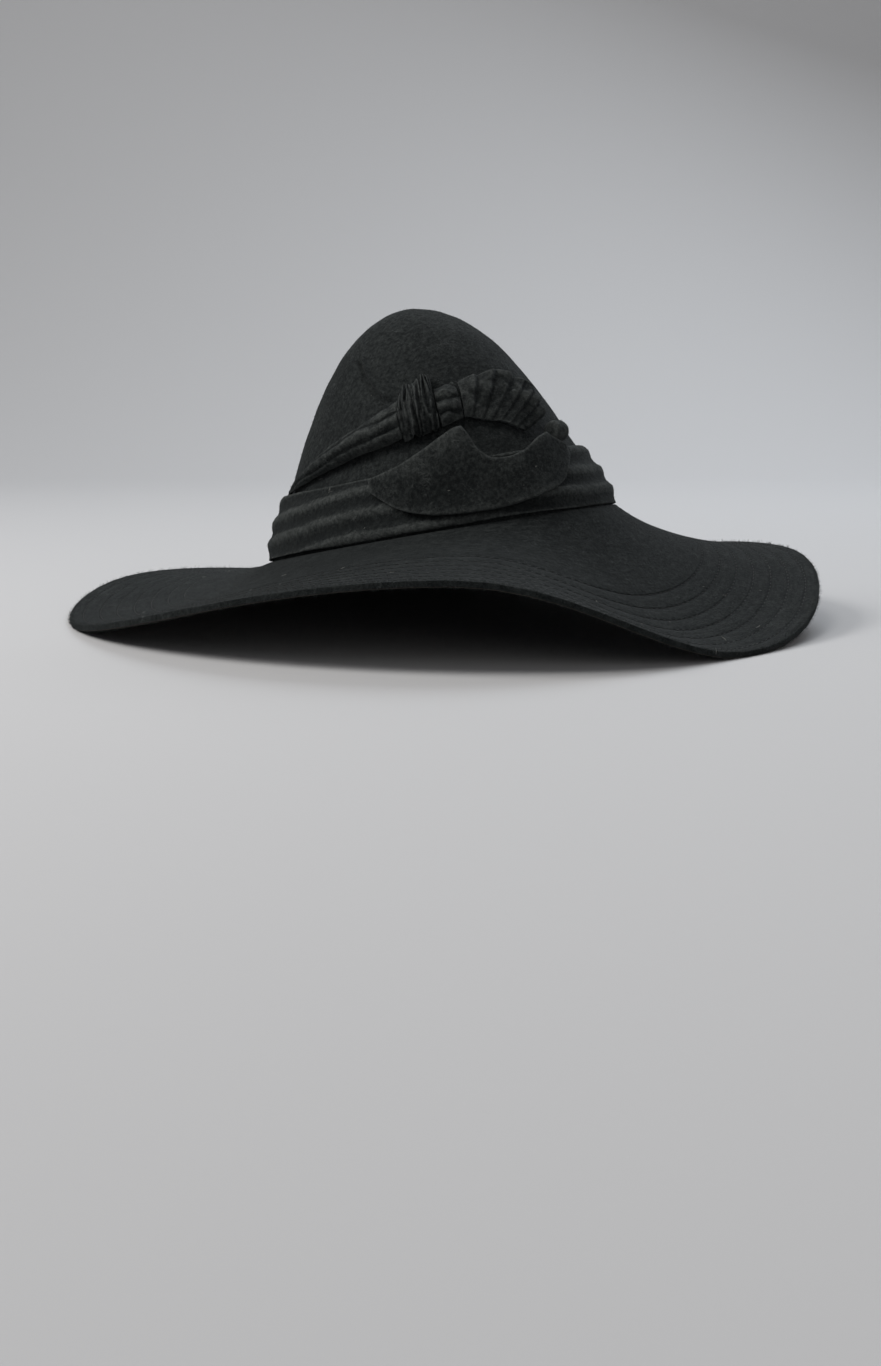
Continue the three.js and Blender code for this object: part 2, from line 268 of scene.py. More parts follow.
BRIM_RELIEF = 0.0007
STITCH_ROWS = 7
FIRST_ROW = 0.0065
ROW_PITCH = 0.0082
FURROW_THINNESS = 11
FURROW_PAINTED_SHADE = 0.16
QUILT_THINNESS = 3.2
QUILT_HEIGHT = 0.6
QUILT_DEPTH = 0.0003
BRUSH_STRETCH = 0.14
UNDERSIDE_SLOPE = -0.3
OPENING_HALF_SIDE = 0.0783
OPENING_HALF_LENGTH = 0.0953
OPENING_EDGE = 1.02
OPENING_SEAM = 1.008
OUTLINE_EDGE = 0.995
SEAM_TAKE_UP = 0.0002
FELT_JOIN = 1e-6
EDGE_CREASE = 0.75
BRIM_LEVELS = 3


def felt_material(name, dark, light, relief, rows=False, ridges=False):
    """Matted wool: mottled at the size of its tufts, with stray curled fibres that catch the light."""
    felt = Cloth(name)
    place = felt.node("ShaderNodeTexCoord", output="Object")
    grain = "ShaderNodeTexNoise"
    tufts = felt.node(grain, {}, {"Vector": place, **TUFTS})
    clouds = felt.node(grain, {}, {"Vector": place, **CLOUDS})
    coarse = felt.node(grain, {}, {"Vector": place, **COARSE_STRANDS})
    fine = felt.node(grain, {}, {"Vector": place, **FINE_STRANDS})
    patches = felt.node(grain, {}, {"Vector": place, **LINT_PATCHES})
    coarse_strands = (1 - abs(coarse - COARSE_LEVEL) * COARSE_THINNESS).clamped()
    fine_strands = (1 - abs(fine - FINE_LEVEL) * FINE_THINNESS).clamped()
    strands = coarse_strands + fine_strands
    lint_strands = strands * ((patches - PATCH_LEVEL) * PATCH_CONTRAST).clamped()
    tone = (tufts - TUFT_LEVEL) * TUFT_CONTRAST + (clouds - CLOUD_LEVEL) * CLOUD_CONTRAST
    height = tufts * TUFT_HEIGHT + strands * STRAND_HEIGHT
    if rows:
        brushed = felt.node("ShaderNodeAttribute", {"attribute_name": "brushed"}, output="Vector")
        streaks = felt.node(grain, {}, {"Vector": brushed, **BRUSHED_STREAKS})
        tone = tone * MOTTLE_WHERE_BRUSHED + (streaks - STREAK_LEVEL) * STREAK_CONTRAST
        height = height + streaks * STREAK_HEIGHT
    shade = (tone * MOTTLE_SHADE + strands * STRAND_SHADE + lint_strands * LINT_SHADE).clamped()
    # Painted shade and highlight: the tone is darkened in the valleys between folds and lightened on their
    # ridges, most of all on the highest ridges
    if ridges:
        ridge = felt.node("ShaderNodeAttribute", {"attribute_name": "ridge"}, output="Fac")
        painted_ridge_highlight = (ridge - PAINTED_HIGHLIGHT_FROM).clamped() * PAINTED_HIGHLIGHT_GAIN
        shade = (shade * (PAINTED_VALLEY_SHADE + ridge * PAINTED_RIDGE_LIGHT) + painted_ridge_highlight).clamped()
    if rows:
        inward = felt.node("ShaderNodeAttribute", {"attribute_name": "from_edge"}, output="Fac")
        row = (inward - FIRST_ROW) / ROW_PITCH
        beside_row = felt.node("ShaderNodeMath", {"operation": "PINGPONG"}, {0: row, 1: 0.5})
        among = {0: row, 1: (STITCH_ROWS - 1) / 2, 2: STITCH_ROWS / 2}
        within_rows = felt.node("ShaderNodeMath", {"operation": "COMPARE"}, among)
        furrow = (1 - beside_row * FURROW_THINNESS).clamped() * within_rows
        quilt = (1 - beside_row * QUILT_THINNESS).clamped() ** 2 * within_rows
        height = height - furrow - quilt * QUILT_HEIGHT
        # Painted shade: the felt is darkened along each stitched row, where it sinks into a furrow
        shade = (shade - furrow * FURROW_PAINTED_SHADE).clamped()
    colour = felt.node(
        "ShaderNodeMix", {"data_type": "RGBA"}, {"Factor": shade, "A": (*dark, 1), "B": (*light, 1)},
        output="Result",
    )
    bump = felt.node("ShaderNodeBump", {}, {"Height": height, "Strength": 1.0, "Distance": relief})
    felt.set(
        Base_Color=colour, Normal=bump, Roughness=FELT_ROUGHNESS, Specular_IOR_Level=FELT_SHINE,
        Sheen_Weight=FELT_SHEEN, Sheen_Roughness=SHEEN_ROUGHNESS, Sheen_Tint=SHEEN_TINT,
    )
    return felt.material


def felt_copy(node, name, levels, crease_where=None, crease_angle=None):
    """A new object with a node's shape, joined into quads and rounded as felt is, less so at its cut edges.

    The cut edges are those at places that crease_where picks, or those sharper than crease_angle.
    """
    piece = bpy.data.objects.new(name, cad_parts[node].data.copy())
    bpy.context.scene.collection.objects.link(piece)
    piece.data.materials.clear()
    bpy.ops.object.select_all(action="DESELECT")
    piece.select_set(True)
    bpy.context.view_layer.objects.active = piece
    bpy.ops.object.mode_set(mode="EDIT")
    bpy.ops.mesh.select_mode(type="EDGE")
    bpy.ops.mesh.select_all(action="SELECT")
    bpy.ops.mesh.remove_doubles(threshold=FELT_JOIN)
    bpy.ops.mesh.tris_convert_to_quads(face_threshold=math.pi, shape_threshold=math.pi)
    bpy.ops.mesh.select_all(action="DESELECT")
    if crease_where:
        bpy.ops.object.mode_set(mode="OBJECT")
        for edge in piece.data.edges:
            edge.select = all(crease_where(piece.data.vertices[i].co) for i in edge.vertices)
        bpy.ops.object.mode_set(mode="EDIT")
    if crease_angle:
        bpy.ops.mesh.edges_select_sharp(sharpness=crease_angle)
    bpy.ops.transform.edge_crease(value=EDGE_CREASE)
    bpy.ops.object.mode_set(mode="OBJECT")
    rounding = piece.modifiers.new("rounding", "SUBSURF")
    rounding.levels = rounding.render_levels = levels
    bpy.ops.object.modifier_apply(modifier=rounding.name)
    bpy.ops.object.shade_smooth()
    return piece


def move_along_normals(piece, distance):
    """Moves each vertex along its normal by the distance that a function gives for its place and normal."""
    normals = [v.normal.copy() for v in piece.data.vertices]
    for v, normal in zip(piece.data.vertices, normals):
        v.co += normal * distance(v.co, normal)


brim_low, brim_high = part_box("brim")
half_side = (brim_high.x - brim_low.x) / 2
half_length = (brim_high.y - brim_low.y) / 2


def outline_share(co):
    """1 at the brim's cut edge and less inside it."""
    return math.hypot(co.x / half_side, co.y / half_length)


def opening_share(co):
    """1 at the brim's opening and more outside it."""
    return math.hypot(co.x / OPENING_HALF_SIDE, co.y / OPENING_HALF_LENGTH)


def from_edge(co):
    """How far in from the cut edge a place on the brim is."""
    return math.hypot(co.x, co.y) * (1 / outline_share(co) - 1)


def on_either_edge(co):
    return outline_share(co) > OUTLINE_EDGE or opening_share(co) < OPENING_EDGE


def quilted(co, normal):
    """The felt sinks along each row, where the thread draws it in."""
    row = (from_edge(co) - FIRST_ROW) / ROW_PITCH
    if not -0.5 < row < STITCH_ROWS - 0.5:
        return 0.0
    return -QUILT_DEPTH * (0.5 + 0.5 * math.cos(2 * math.pi * row))


brim = felt_copy("brim", "brim_felt", BRIM_LEVELS, crease_where=on_either_edge)
for v in brim.data.vertices:
    if opening_share(v.co) < OPENING_SEAM:
        inward = Vector((-v.co.x, -v.co.y, 0)).normalized()
        v.co += inward * SEAM_TAKE_UP
move_along_normals(brim, quilted)
brim.data.materials.append(felt_material("brim_top_felt", TOP_FELT, FELT_FIBRE, BRIM_RELIEF, rows=True))
brim.data.materials.append(felt_material("brim_under_felt_painted_bounce_light", UNDER_FELT_WITH_PAINTED_BOUNCE, UNDER_FIBRE_WITH_PAINTED_BOUNCE, BRIM_RELIEF, rows=True))
# The faces turned downwards get the copy with painted bounce light
for face in brim.data.polygons:
    face.material_index = 1 if face.normal.z < UNDERSIDE_SLOPE else 0
edge_distances = brim.data.attributes.new("from_edge", "FLOAT", "POINT")
edge_distances.data.foreach_set("value", [from_edge(v.co) for v in brim.data.vertices])
brushed_places = []
for v in brim.data.vertices:
    round_about = Vector((v.co.x, v.co.y)).normalized() * half_side * BRUSH_STRETCH
    brushed_places += [from_edge(v.co), round_about.x, round_about.y]
brushing = brim.data.attributes.new("brushed", "FLOAT_VECTOR", "POINT")
brushing.data.foreach_set("vector", brushed_places)
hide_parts("brim")
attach(brim, "root")

# Crown
# A dome of thinner, softer felt, blocked over a form and sewn to the brim at its foot, where it is open. On
# its right front the felt is sewn into a tuck: a narrow furrow with a raised lip beside it.
CROWN_LEAN = (math.radians(-11), math.radians(-3))
CROWN_SEAT = Vector((0, 0, 0.039))
CROWN_MIDDLE = 0.03
CROWN_RIM_TOP = -0.001
CROWN_RELIEF = 0.0009
CROWN_LEVELS = 2
# Each end of the tuck: its turn from the wearer's front, and its height up the crown
TUCK_FROM = (math.radians(-88), 0.0915)
TUCK_TO = (math.radians(-55), 0.0635)
TUCK_FURROW = 0.0009
TUCK_LIP = 0.0026
TUCK_LIP_WIDTH = 1.4 * TUCK_FURROW
TUCK_RISE = 0.0021
TUCK_DEPTH = 0.0019
TUCK_STARTS_OVER = 0.15
TUCK_ENDS_OVER = 0.08
FINER_PAST_TUCK = 0.15
FINER_BESIDE_TUCK = 0.008
FINER_CUTS = 2
FINE_DEPTH = 0.0003

crown_axes = Matrix.Rotation(CROWN_LEAN[0], 4, "X") @ Matrix.Rotation(CROWN_LEAN[1], 4, "Y")
crown_frame = Matrix.Translation(CROWN_SEAT) @ crown_axes
into_crown = crown_frame.inverted()
crown_middle = crown_frame @ Vector((0, 0, CROWN_MIDDLE))


def crown_place(co):
    """A place's turn round the crown from the wearer's front, its height up the crown and its girth."""
    place = into_crown @ co
    return math.atan2(place.x, -place.y), place.z, math.hypot(place.x, place.y)


def beside_tuck(co):
    """How far a place lies along the tuck, as a share of its length, and how far to its upper side."""
    turn, up, girth = crown_place(co)
    along = Vector(((TUCK_TO[0] - TUCK_FROM[0]) * girth, TUCK_TO[1] - TUCK_FROM[1]))
    place = Vector(((turn - TUCK_FROM[0]) * girth, up - TUCK_FROM[1]))
    share = place.dot(along) / along.length_squared
    off = (along.x * place.y - along.y * place.x) / along.length
    return share, off


def tuck_lift(co, normal):
    """The crown's outer face alone rises and sinks at the tuck."""
    share, off = beside_tuck(co)
    if not 0 < share < 1 or normal.dot(co - crown_middle) < 0:
        return 0.0
    fade = min(share / TUCK_STARTS_OVER, 1) * min((1 - share) / TUCK_ENDS_OVER, 1)
    furrow = math.exp(-((off / TUCK_FURROW) ** 2))
    lip = math.exp(-(((off - TUCK_LIP) / TUCK_LIP_WIDTH) ** 2))
    return fade * (TUCK_RISE * lip - TUCK_DEPTH * furrow)


def uneven(co, depth, per_metre):
    """How far felt that was worked by hand stands out at a place, with about so many swells to a metre."""
    return depth * noise.noise(co * per_metre)


def hand_blocked(co, normal):
    return uneven(co, depth=0.0007, per_metre=38) + uneven(co, depth=FINE_DEPTH, per_metre=110)


def on_crown_rim(co):
    return crown_place(co)[1] < CROWN_RIM_TOP


crown = felt_copy("crown", "crown_felt", CROWN_LEVELS, crease_where=on_crown_rim)
crown.data.materials.append(felt_material("crown_felt", TOP_FELT, FELT_FIBRE, CROWN_RELIEF))
crown.data.materials.append(felt_material("crown_inside_felt_painted_bounce_light", UNDER_FELT_WITH_PAINTED_BOUNCE, UNDER_FIBRE_WITH_PAINTED_BOUNCE, CROWN_RELIEF))
# The faces turned into the crown get the copy with painted bounce light
for face in crown.data.polygons:
    face.material_index = 1 if face.normal.dot(crown_middle - face.center) > 0 else 0
bpy.ops.object.mode_set(mode="EDIT")
bpy.ops.mesh.select_mode(type="FACE")
bpy.ops.mesh.select_all(action="DESELECT")
bpy.ops.object.mode_set(mode="OBJECT")
for face in crown.data.polygons:
    share, off = beside_tuck(face.center)
    face.select = -FINER_PAST_TUCK < share < 1 + FINER_PAST_TUCK and abs(off) < FINER_BESIDE_TUCK
bpy.ops.object.mode_set(mode="EDIT")
bpy.ops.mesh.subdivide(number_cuts=FINER_CUTS, smoothness=0)
bpy.ops.object.mode_set(mode="OBJECT")
move_along_normals(crown, tuck_lift)
move_along_normals(crown, hand_blocked)
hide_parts("crown")
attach(crown, "root")

# Crown band
# A strip of thin felt, laid in soft folds round the foot of the crown and sewn to it behind the trim. The
# folds run along the strip, and its lower edge reaches down to the brim.
TRIM_FIBRE = (0.055, 0.06, 0.058)
TRIM_RELIEF = 0.0008
TRIM_CUT_ANGLE = math.radians(50)
BAND_LEVELS = 2
BAND_FOLD_DEPTH = 0.0017
BAND_FOLD_HEIGHT = 0.0098
BAND_FOLD_SHARPNESS = 1.4
BAND_SLOPES = 2
BAND_SLOPE_START = 0.6
BAND_SLOPE_RISE = 0.0028
BAND_FOLD_DRIFT = 0.0018
BAND_DROP = 0.0011
BAND_DROP_REACH = 4
BAND_SMOOTHING = 8
RIDGE_HEIGHT = 0.0005
OUTWARD_RISE = 0.7
STRIP_STEPS = 14
STRIP_LEAST_HEIGHT = 0.001


def move_outward(piece, distance):
    """Moves both faces of a piece away from the crown, by the distance that a function gives for a place."""
    for v in piece.data.vertices:
        place = into_crown @ v.co
        level = Vector((place.x, place.y, 0)).normalized()
        away = (level + Vector((0, 0, OUTWARD_RISE))).normalized()
        v.co += (crown_axes @ away) * distance(v.co)


def strip_places(piece):
    """Gives a function that measures a strip of felt at a place.

    It returns the place's share of the way up from the strip's lower to its upper edge, the strip's height
    there, and the place's share of the way along the strip.
    """
    places = [crown_place(v.co) for v in piece.data.vertices]
    first = min(turn for turn, up, girth in places)
    last = max(turn for turn, up, girth in places)
    low, high = [1.0] * (STRIP_STEPS + 1), [-1.0] * (STRIP_STEPS + 1)
    for turn, up, girth in places:
        k = round((turn - first) / (last - first) * STRIP_STEPS)
        low[k], high[k] = min(low[k], up), max(high[k], up)

    def measure(co):
        turn, up, girth = crown_place(co)
        run = (turn - first) / (last - first)
        along = min(max(run * STRIP_STEPS, 0), STRIP_STEPS)
        k = min(int(along), STRIP_STEPS - 1)
        foot = low[k] + (low[k + 1] - low[k]) * (along - k)
        top = high[k] + (high[k + 1] - high[k]) * (along - k)
        tall = max(top - foot, STRIP_LEAST_HEIGHT)
        return (up - foot) / tall, tall, run

    return measure


def mark_ridges(piece, passes):
    """Stores how far each place stands out of the felt round it: 0.5 is level, and 1 is a full ridge.

    The felt round it is the mesh after so many passes, each of which moves a vertex halfway to the middle of
    its neighbours.
    """
    mesh = piece.data
    places = numpy.empty(3 * len(mesh.vertices))
    mesh.vertices.foreach_get("co", places)
    places = places.reshape(-1, 3)
    ends = numpy.empty(2 * len(mesh.edges), dtype=int)
    mesh.edges.foreach_get("vertices", ends)
    ends = ends.reshape(-1, 2)
    normals = numpy.array([v.normal for v in mesh.vertices])
    neighbours = numpy.bincount(ends.ravel(), minlength=len(places)).reshape(-1, 1)
    smoothed = places.copy()
    for _ in range(passes):
        total = numpy.zeros_like(smoothed)
        numpy.add.at(total, ends[:, 0], smoothed[ends[:, 1]])
        numpy.add.at(total, ends[:, 1], smoothed[ends[:, 0]])
        smoothed = 0.5 * smoothed + 0.5 * total / neighbours
    standing = ((places - smoothed) * normals).sum(axis=1)
    ridge = mesh.attributes.new("ridge", "FLOAT", "POINT")
    ridge.data.foreach_set("value", numpy.clip(0.5 + 0.5 * standing / RIDGE_HEIGHT, 0, 1))


def band_folds(co):
    turn, up, girth = crown_place(co)
    slope = BAND_SLOPE_RISE * math.sin(turn * BAND_SLOPES + BAND_SLOPE_START)
    slope += uneven(co, depth=BAND_FOLD_DRIFT, per_metre=22)
    fold = 0.5 + 0.5 * math.sin(2 * math.pi * (up + slope) / BAND_FOLD_HEIGHT)
    return BAND_FOLD_DEPTH * fold ** BAND_FOLD_SHARPNESS + uneven(co, depth=FINE_DEPTH, per_metre=160)


trim_felt = felt_material("trim_felt", TOP_FELT, TRIM_FIBRE, TRIM_RELIEF, ridges=True)
band = felt_copy("crown_band", "band_felt", BAND_LEVELS, crease_angle=TRIM_CUT_ANGLE)
band.data.materials.append(trim_felt)
move_outward(band, band_folds)
band_place = strip_places(band)
crown_down = crown_axes @ Vector((0, 0, -1))
for v in band.data.vertices:
    v.co += crown_down * BAND_DROP * max(1 - BAND_DROP_REACH * band_place(v.co)[0], 0)
mark_ridges(band, BAND_SMOOTHING)
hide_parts("crown_band")
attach(band, "root")

# Side loop
# The end of the trim that runs back round the crown: a strip of thin felt, sewn down at its narrow far end.
# Its soft folds run along it and draw together where it is gathered into the puff.
TRIM_LEVELS = 3
TRIM_SMOOTHING = 60
SIDE_FOLDS = 2.4
SIDE_FOLD_START = 0.15
SIDE_FOLD_DRIFT = 0.35
SIDE_FOLD_SHARPNESS = 0.8
SIDE_FOLD_DEPTH = 0.1
SIDE_WRINKLE_DEPTH = 0.045


def add_trim(node, name, relief, levels=TRIM_LEVELS, cut_angle=TRIM_CUT_ANGLE, passes=TRIM_SMOOTHING):
    """A piece of the trim, with its folds given by a place, its share up the strip, the height and the run."""
    piece = felt_copy(node, name, levels, crease_angle=cut_angle)
    piece.data.materials.append(trim_felt)
    measure = strip_places(piece)
    move_outward(piece, lambda co: relief(co, *measure(co)))
    mark_ridges(piece, passes)
    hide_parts(node)
    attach(piece, "root")
    return piece


def wandering(run, share, along, across, layer):
    """A value from about -1 to 1 that drifts so often along and across a strip, otherwise in each layer."""
    return noise.noise(Vector((run * along, share * across, layer)))


def swag(co, share, tall, run):
    """Soft folds along the strip, with more small wrinkles the nearer to the puff."""
    drift = SIDE_FOLD_DRIFT * wandering(run, share, along=5, across=1.5, layer=3)
    fold = abs(math.sin(math.pi * (SIDE_FOLDS * share + drift + SIDE_FOLD_START))) ** SIDE_FOLD_SHARPNESS
    wrinkle = 0.5 + 0.5 * wandering(run, share, along=16, across=5, layer=1)
    relief = tall * (SIDE_FOLD_DEPTH * fold + SIDE_WRINKLE_DEPTH * wrinkle * run)
    return relief + uneven(co, depth=FINE_DEPTH, per_metre=260)


side_loop = add_trim("side_loop", "side_loop_felt", swag)

# Gathered puff
# The middle of the trim: thin felt that is shirred on upright threads and sewn to the crown, so that it
# stands out in narrow uneven gathers.
PUFF_GATHERS = 6.5
PUFF_GATHER_DEPTH = 0.0022
PUFF_GATHER_SHARPNESS = 1.3
PUFF_WARP = 0.7
PUFF_FINE_WARP = 0.4
PUFF_TOP_GATHERS = 1.55 * PUFF_GATHERS
PUFF_TOP_SHIFT = 0.3
PUFF_TOP_WARP = 1.6
PUFF_TOP_SHARE = 0.85
PUFF_SPLIT_RATE = 1.4
PUFF_SPLIT_DELAY = 0.3
PUFF_FULLNESS = 0.75
PUFF_FULLNESS_CHANGE = 1.2
PUFF_LEAST_FULLNESS = 0.15
PUFF_RUFFLE = 2.2
PUFF_RUFFLE_FROM = 0.8


def gathers(co, share, tall, run):
    """Ridges that wander, split in two towards the top, and flare out there as a ruffle."""
    warp = PUFF_WARP * wandering(run, share, along=3.5, across=2, layer=0)
    warp += PUFF_FINE_WARP * wandering(run, share, along=8, across=4, layer=4)
    low = 0.5 + 0.5 * math.cos(2 * math.pi * (PUFF_GATHERS * run + warp))
    high = 0.5 + 0.5 * math.cos(2 * math.pi * (PUFF_TOP_GATHERS * run + PUFF_TOP_WARP * warp + PUFF_TOP_SHIFT))
    split = min(max(PUFF_SPLIT_RATE * share - PUFF_SPLIT_DELAY, 0), 1)
    ridge = (low * (1 - split) + PUFF_TOP_SHARE * high * split) ** PUFF_GATHER_SHARPNESS
    change = PUFF_FULLNESS_CHANGE * wandering(run, share, along=4, across=2.6, layer=9)
    fullness = max(PUFF_FULLNESS + change, PUFF_LEAST_FULLNESS)
    ruffle = 1 + PUFF_RUFFLE * max(share - PUFF_RUFFLE_FROM, 0)
    return PUFF_GATHER_DEPTH * fullness * ridge * ruffle + uneven(co, depth=FINE_DEPTH, per_metre=300)


puff = add_trim("gathered_puff", "gathered_puff_felt", gathers)

# Small loop
# The short piece of thin felt between the puff and the fan, sewn down at both ends. It is drawn into a few
# folds that run along it and grow flatter towards the fan.
LOOP_FOLDS = 2.6
LOOP_FOLD_SLANT = 0.5
LOOP_FOLD_DRIFT = 0.5
LOOP_FOLD_SHARPNESS = 0.7
LOOP_FOLD_DEPTH = 0.002185
LOOP_FOLD_FLATTENING = 0.00095


def drawn_folds(co, share, tall, run):
    drift = LOOP_FOLD_DRIFT * wandering(run, share, along=2.5, across=2, layer=5)
    fold = abs(math.sin(math.pi * (LOOP_FOLDS * share + LOOP_FOLD_SLANT * run + drift))) ** LOOP_FOLD_SHARPNESS
    depth = LOOP_FOLD_DEPTH - LOOP_FOLD_FLATTENING * run
    return depth * fold + uneven(co, depth=0.0004, per_metre=220)


small_loop = add_trim("small_loop", "small_loop_felt", drawn_folds)

# Pleated fan
# Thin felt pressed into knife pleats, which run on from the small loop and curve down to the rolled end. It
# is sewn to the crown along its foot, and its free edge steps out pleat by pleat.
PLEAT_ANGLE = math.radians(22)
PLEAT_FULLNESS = 0.00065
PLEAT_FULLNESS_CHANGE = 0.0013
PLEAT_TIP_LIFT = 0.00054
PLEAT_TIP_CHANGE = 0.0018
PLEAT_TIPS_FROM = 0.3
PLEAT_TIPS_TO = 0.8


def uneven_pleats(co, share, tall, run):
    """Pleats that were pressed by hand: some fuller than others, with tips that stand off the crown."""
    full = PLEAT_FULLNESS + uneven(co, depth=PLEAT_FULLNESS_CHANGE, per_metre=62)
    full += uneven(co, depth=0.0006, per_metre=170)
    towards_tips = min(max((run - PLEAT_TIPS_FROM) / (PLEAT_TIPS_TO - PLEAT_TIPS_FROM), 0), 1)
    tips = towards_tips * (PLEAT_TIP_LIFT + uneven(co, depth=PLEAT_TIP_CHANGE, per_metre=75))
    return max(full, 0) + max(tips, 0) + uneven(co, depth=FINE_DEPTH, per_metre=320)


fan = add_trim("pleated_fan", "pleated_fan_felt", uneven_pleats, cut_angle=PLEAT_ANGLE)

# Front fold
# A smooth flap of thin felt, sewn in under the puff, that hangs over the band in front of the fan. One
# corner of it curls out, and its upper edge has a deep notch.
FLAP_LEVELS = 2
FLAP_SMOOTHING = 24
FLAP_STAND_OFF = 0.0005
FLAP_EDGE_LIFT = 0.0011
FLAP_EDGE_FROM = 0.6


def slight_waves(co, share, tall, run):
    lifted = FLAP_EDGE_LIFT * max(share - FLAP_EDGE_FROM, 0) / (1 - FLAP_EDGE_FROM)
    waves = uneven(co, depth=0.0009, per_metre=48) + uneven(co, depth=FINE_DEPTH, per_metre=150)
    return FLAP_STAND_OFF + lifted + waves


front_fold = add_trim("front_fold", "front_fold_felt", slight_waves, FLAP_LEVELS, passes=FLAP_SMOOTHING)

# Rolled end
# The far end of the trim: thin felt that is rolled up tightly into a knob and sewn to the fan's far end.
ROLL_LEVELS = 2
ROLL_STAND_OFF = 0.0005


def rolled_creases(co, share, tall, run):
    return ROLL_STAND_OFF + uneven(co, depth=0.0006, per_metre=250)


rolled_end = add_trim("rolled_end", "rolled_end_felt", rolled_creases, ROLL_LEVELS)

# Stitching
# Black thread, sewn through the brim by machine in seven rows that follow the cut edge. Each stitch shows
# on both faces as a short bead, whose ends dip into the felt.
STITCH_LENGTH = 0.0029
STITCH_PITCH = 0.0042
STITCH_WANDER = 0.06
THREAD_RADIUS = 0.00028
THREAD_SIDES = 5
THREAD_CUTS = (-0.25 * STITCH_LENGTH, 0.25 * STITCH_LENGTH)
THREAD_END = 0.4 * STITCH_LENGTH
THREAD_END_DIP = 1.6 * THREAD_RADIUS
THREAD_END_WIDTH = 0.6
THREAD_LIFT = 0.2 * THREAD_RADIUS
THREAD_COLOUR = (0.008, 0.009, 0.009, 1)
THREAD_ROUGHNESS = 0.6
THREAD_SHINE = 0.3
CLEAR_OF_BRIM = 0.3
STITCH_SEED = 7

bpy.ops.object.select_all(action="DESELECT")
bpy.ops.mesh.primitive_cylinder_add(vertices=THREAD_SIDES, radius=THREAD_RADIUS, depth=STITCH_LENGTH)
stitch = bpy.context.object
stitch.rotation_euler = (0, math.pi / 2, 0)
bpy.ops.object.transform_apply(rotation=True)
bpy.ops.object.mode_set(mode="EDIT")
for cut in THREAD_CUTS:
    bpy.ops.mesh.select_all(action="SELECT")
    bpy.ops.mesh.bisect(plane_co=(cut, 0, 0), plane_no=(1, 0, 0))
bpy.ops.object.mode_set(mode="OBJECT")
for v in stitch.data.vertices:
    if abs(v.co.x) > THREAD_END:
        v.co.z -= THREAD_END_DIP
        v.co.y *= THREAD_END_WIDTH
stitch_points = [v.co.copy() for v in stitch.data.vertices]
stitch_faces = [list(f.vertices) for f in stitch.data.polygons]
bpy.data.objects.remove(stitch)


def mesh_piece(name, points, faces, cloth):
    """A new object made from points and faces, all in one material."""
    mesh = bpy.data.meshes.new(name)
    mesh.from_pydata(points, [], faces)
    mesh.materials.append(cloth.material)
    piece = bpy.data.objects.new(name, mesh)
    bpy.context.scene.collection.objects.link(piece)
    return piece


brim_points = [v.co for v in brim.data.vertices]
brim_surface = BVHTree.FromPolygons(brim_points, [f.vertices for f in brim.data.polygons])
wander = random.Random(STITCH_SEED)
points, faces = [], []
for side in (1, -1):
    for row in range(STITCH_ROWS):
        inward = FIRST_ROW + row * ROW_PITCH
        across, along = half_side - inward, half_length - inward
        around = math.pi * (3 * (across + along) - math.sqrt((3 * across + along) * (across + 3 * along)))
        count = int(around / STITCH_PITCH)
        for i in range(count):
            angle = 2 * math.pi * (i + wander.uniform(-STITCH_WANDER, STITCH_WANDER)) / count
            spot = Vector((across * math.sin(angle), -along * math.cos(angle), side * CLEAR_OF_BRIM))
            ahead = Vector((across * math.cos(angle), along * math.sin(angle), 0)).normalized()
            hit, normal, _, _ = brim_surface.ray_cast(spot, Vector((0, 0, -side)))
            if hit is None:
                continue
            out = normal if normal.z * side > 0 else -normal
            ahead = (ahead - out * ahead.dot(out)).normalized()
            sideways = out.cross(ahead)
            turned = Matrix((ahead, sideways, out)).transposed()
            start = len(points)
            points += [hit + out * THREAD_LIFT + turned @ p for p in stitch_points]
            faces += [[start + n for n in face] for face in stitch_faces]
thread = Cloth("black_thread")
thread.set(Base_Color=THREAD_COLOUR, Roughness=THREAD_ROUGHNESS, Specular_IOR_Level=THREAD_SHINE)
stitches = mesh_piece("brim_stitches", points, faces, thread)
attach(stitches, "root")

# Fibres
# Loose ends of wool that stand out of the felt, held by their matted roots: a dense fuzz along the brim's
# cut edge, and a thin nap elsewhere.
FIBRE_COLOUR = (0.03, 0.034, 0.034, 1)
WOOL_ROUGHNESS = 0.9
WOOL_SHINE = 0.2
FIBRE_RADIUS = 0.000045
FIBRE_ROOT = 0.0001
FIBRE_SPREAD = 0.75
FIBRE_BEND = 0.5
FIBRE_FLATTEST = 0.15
NAP_LEAST = 0.0003
FUZZ_LEAST = 0.0006
FUZZ_REACH = 0.0016
CROWN_NAP_FROM = 0.02

loose_wool = Cloth("loose_wool")
loose_wool.set(Base_Color=FIBRE_COLOUR, Roughness=WOOL_ROUGHNESS, Specular_IOR_Level=WOOL_SHINE)


def three_round(centre, across, over):
    """Three points on a circle round the middle of a fibre, given its radii across and over it."""
    turns = [2 * math.pi * k / 3 for k in range(3)]
    return [centre + across * math.cos(turn) + over * math.sin(turn) for turn in turns]


def wall_of_three(first):
    """The faces between a ring of three points and the next ring."""
    return [(first + k, first + (k + 1) % 3, first + 3 + (k + 1) % 3, first + 3 + k) for k in range(3)]


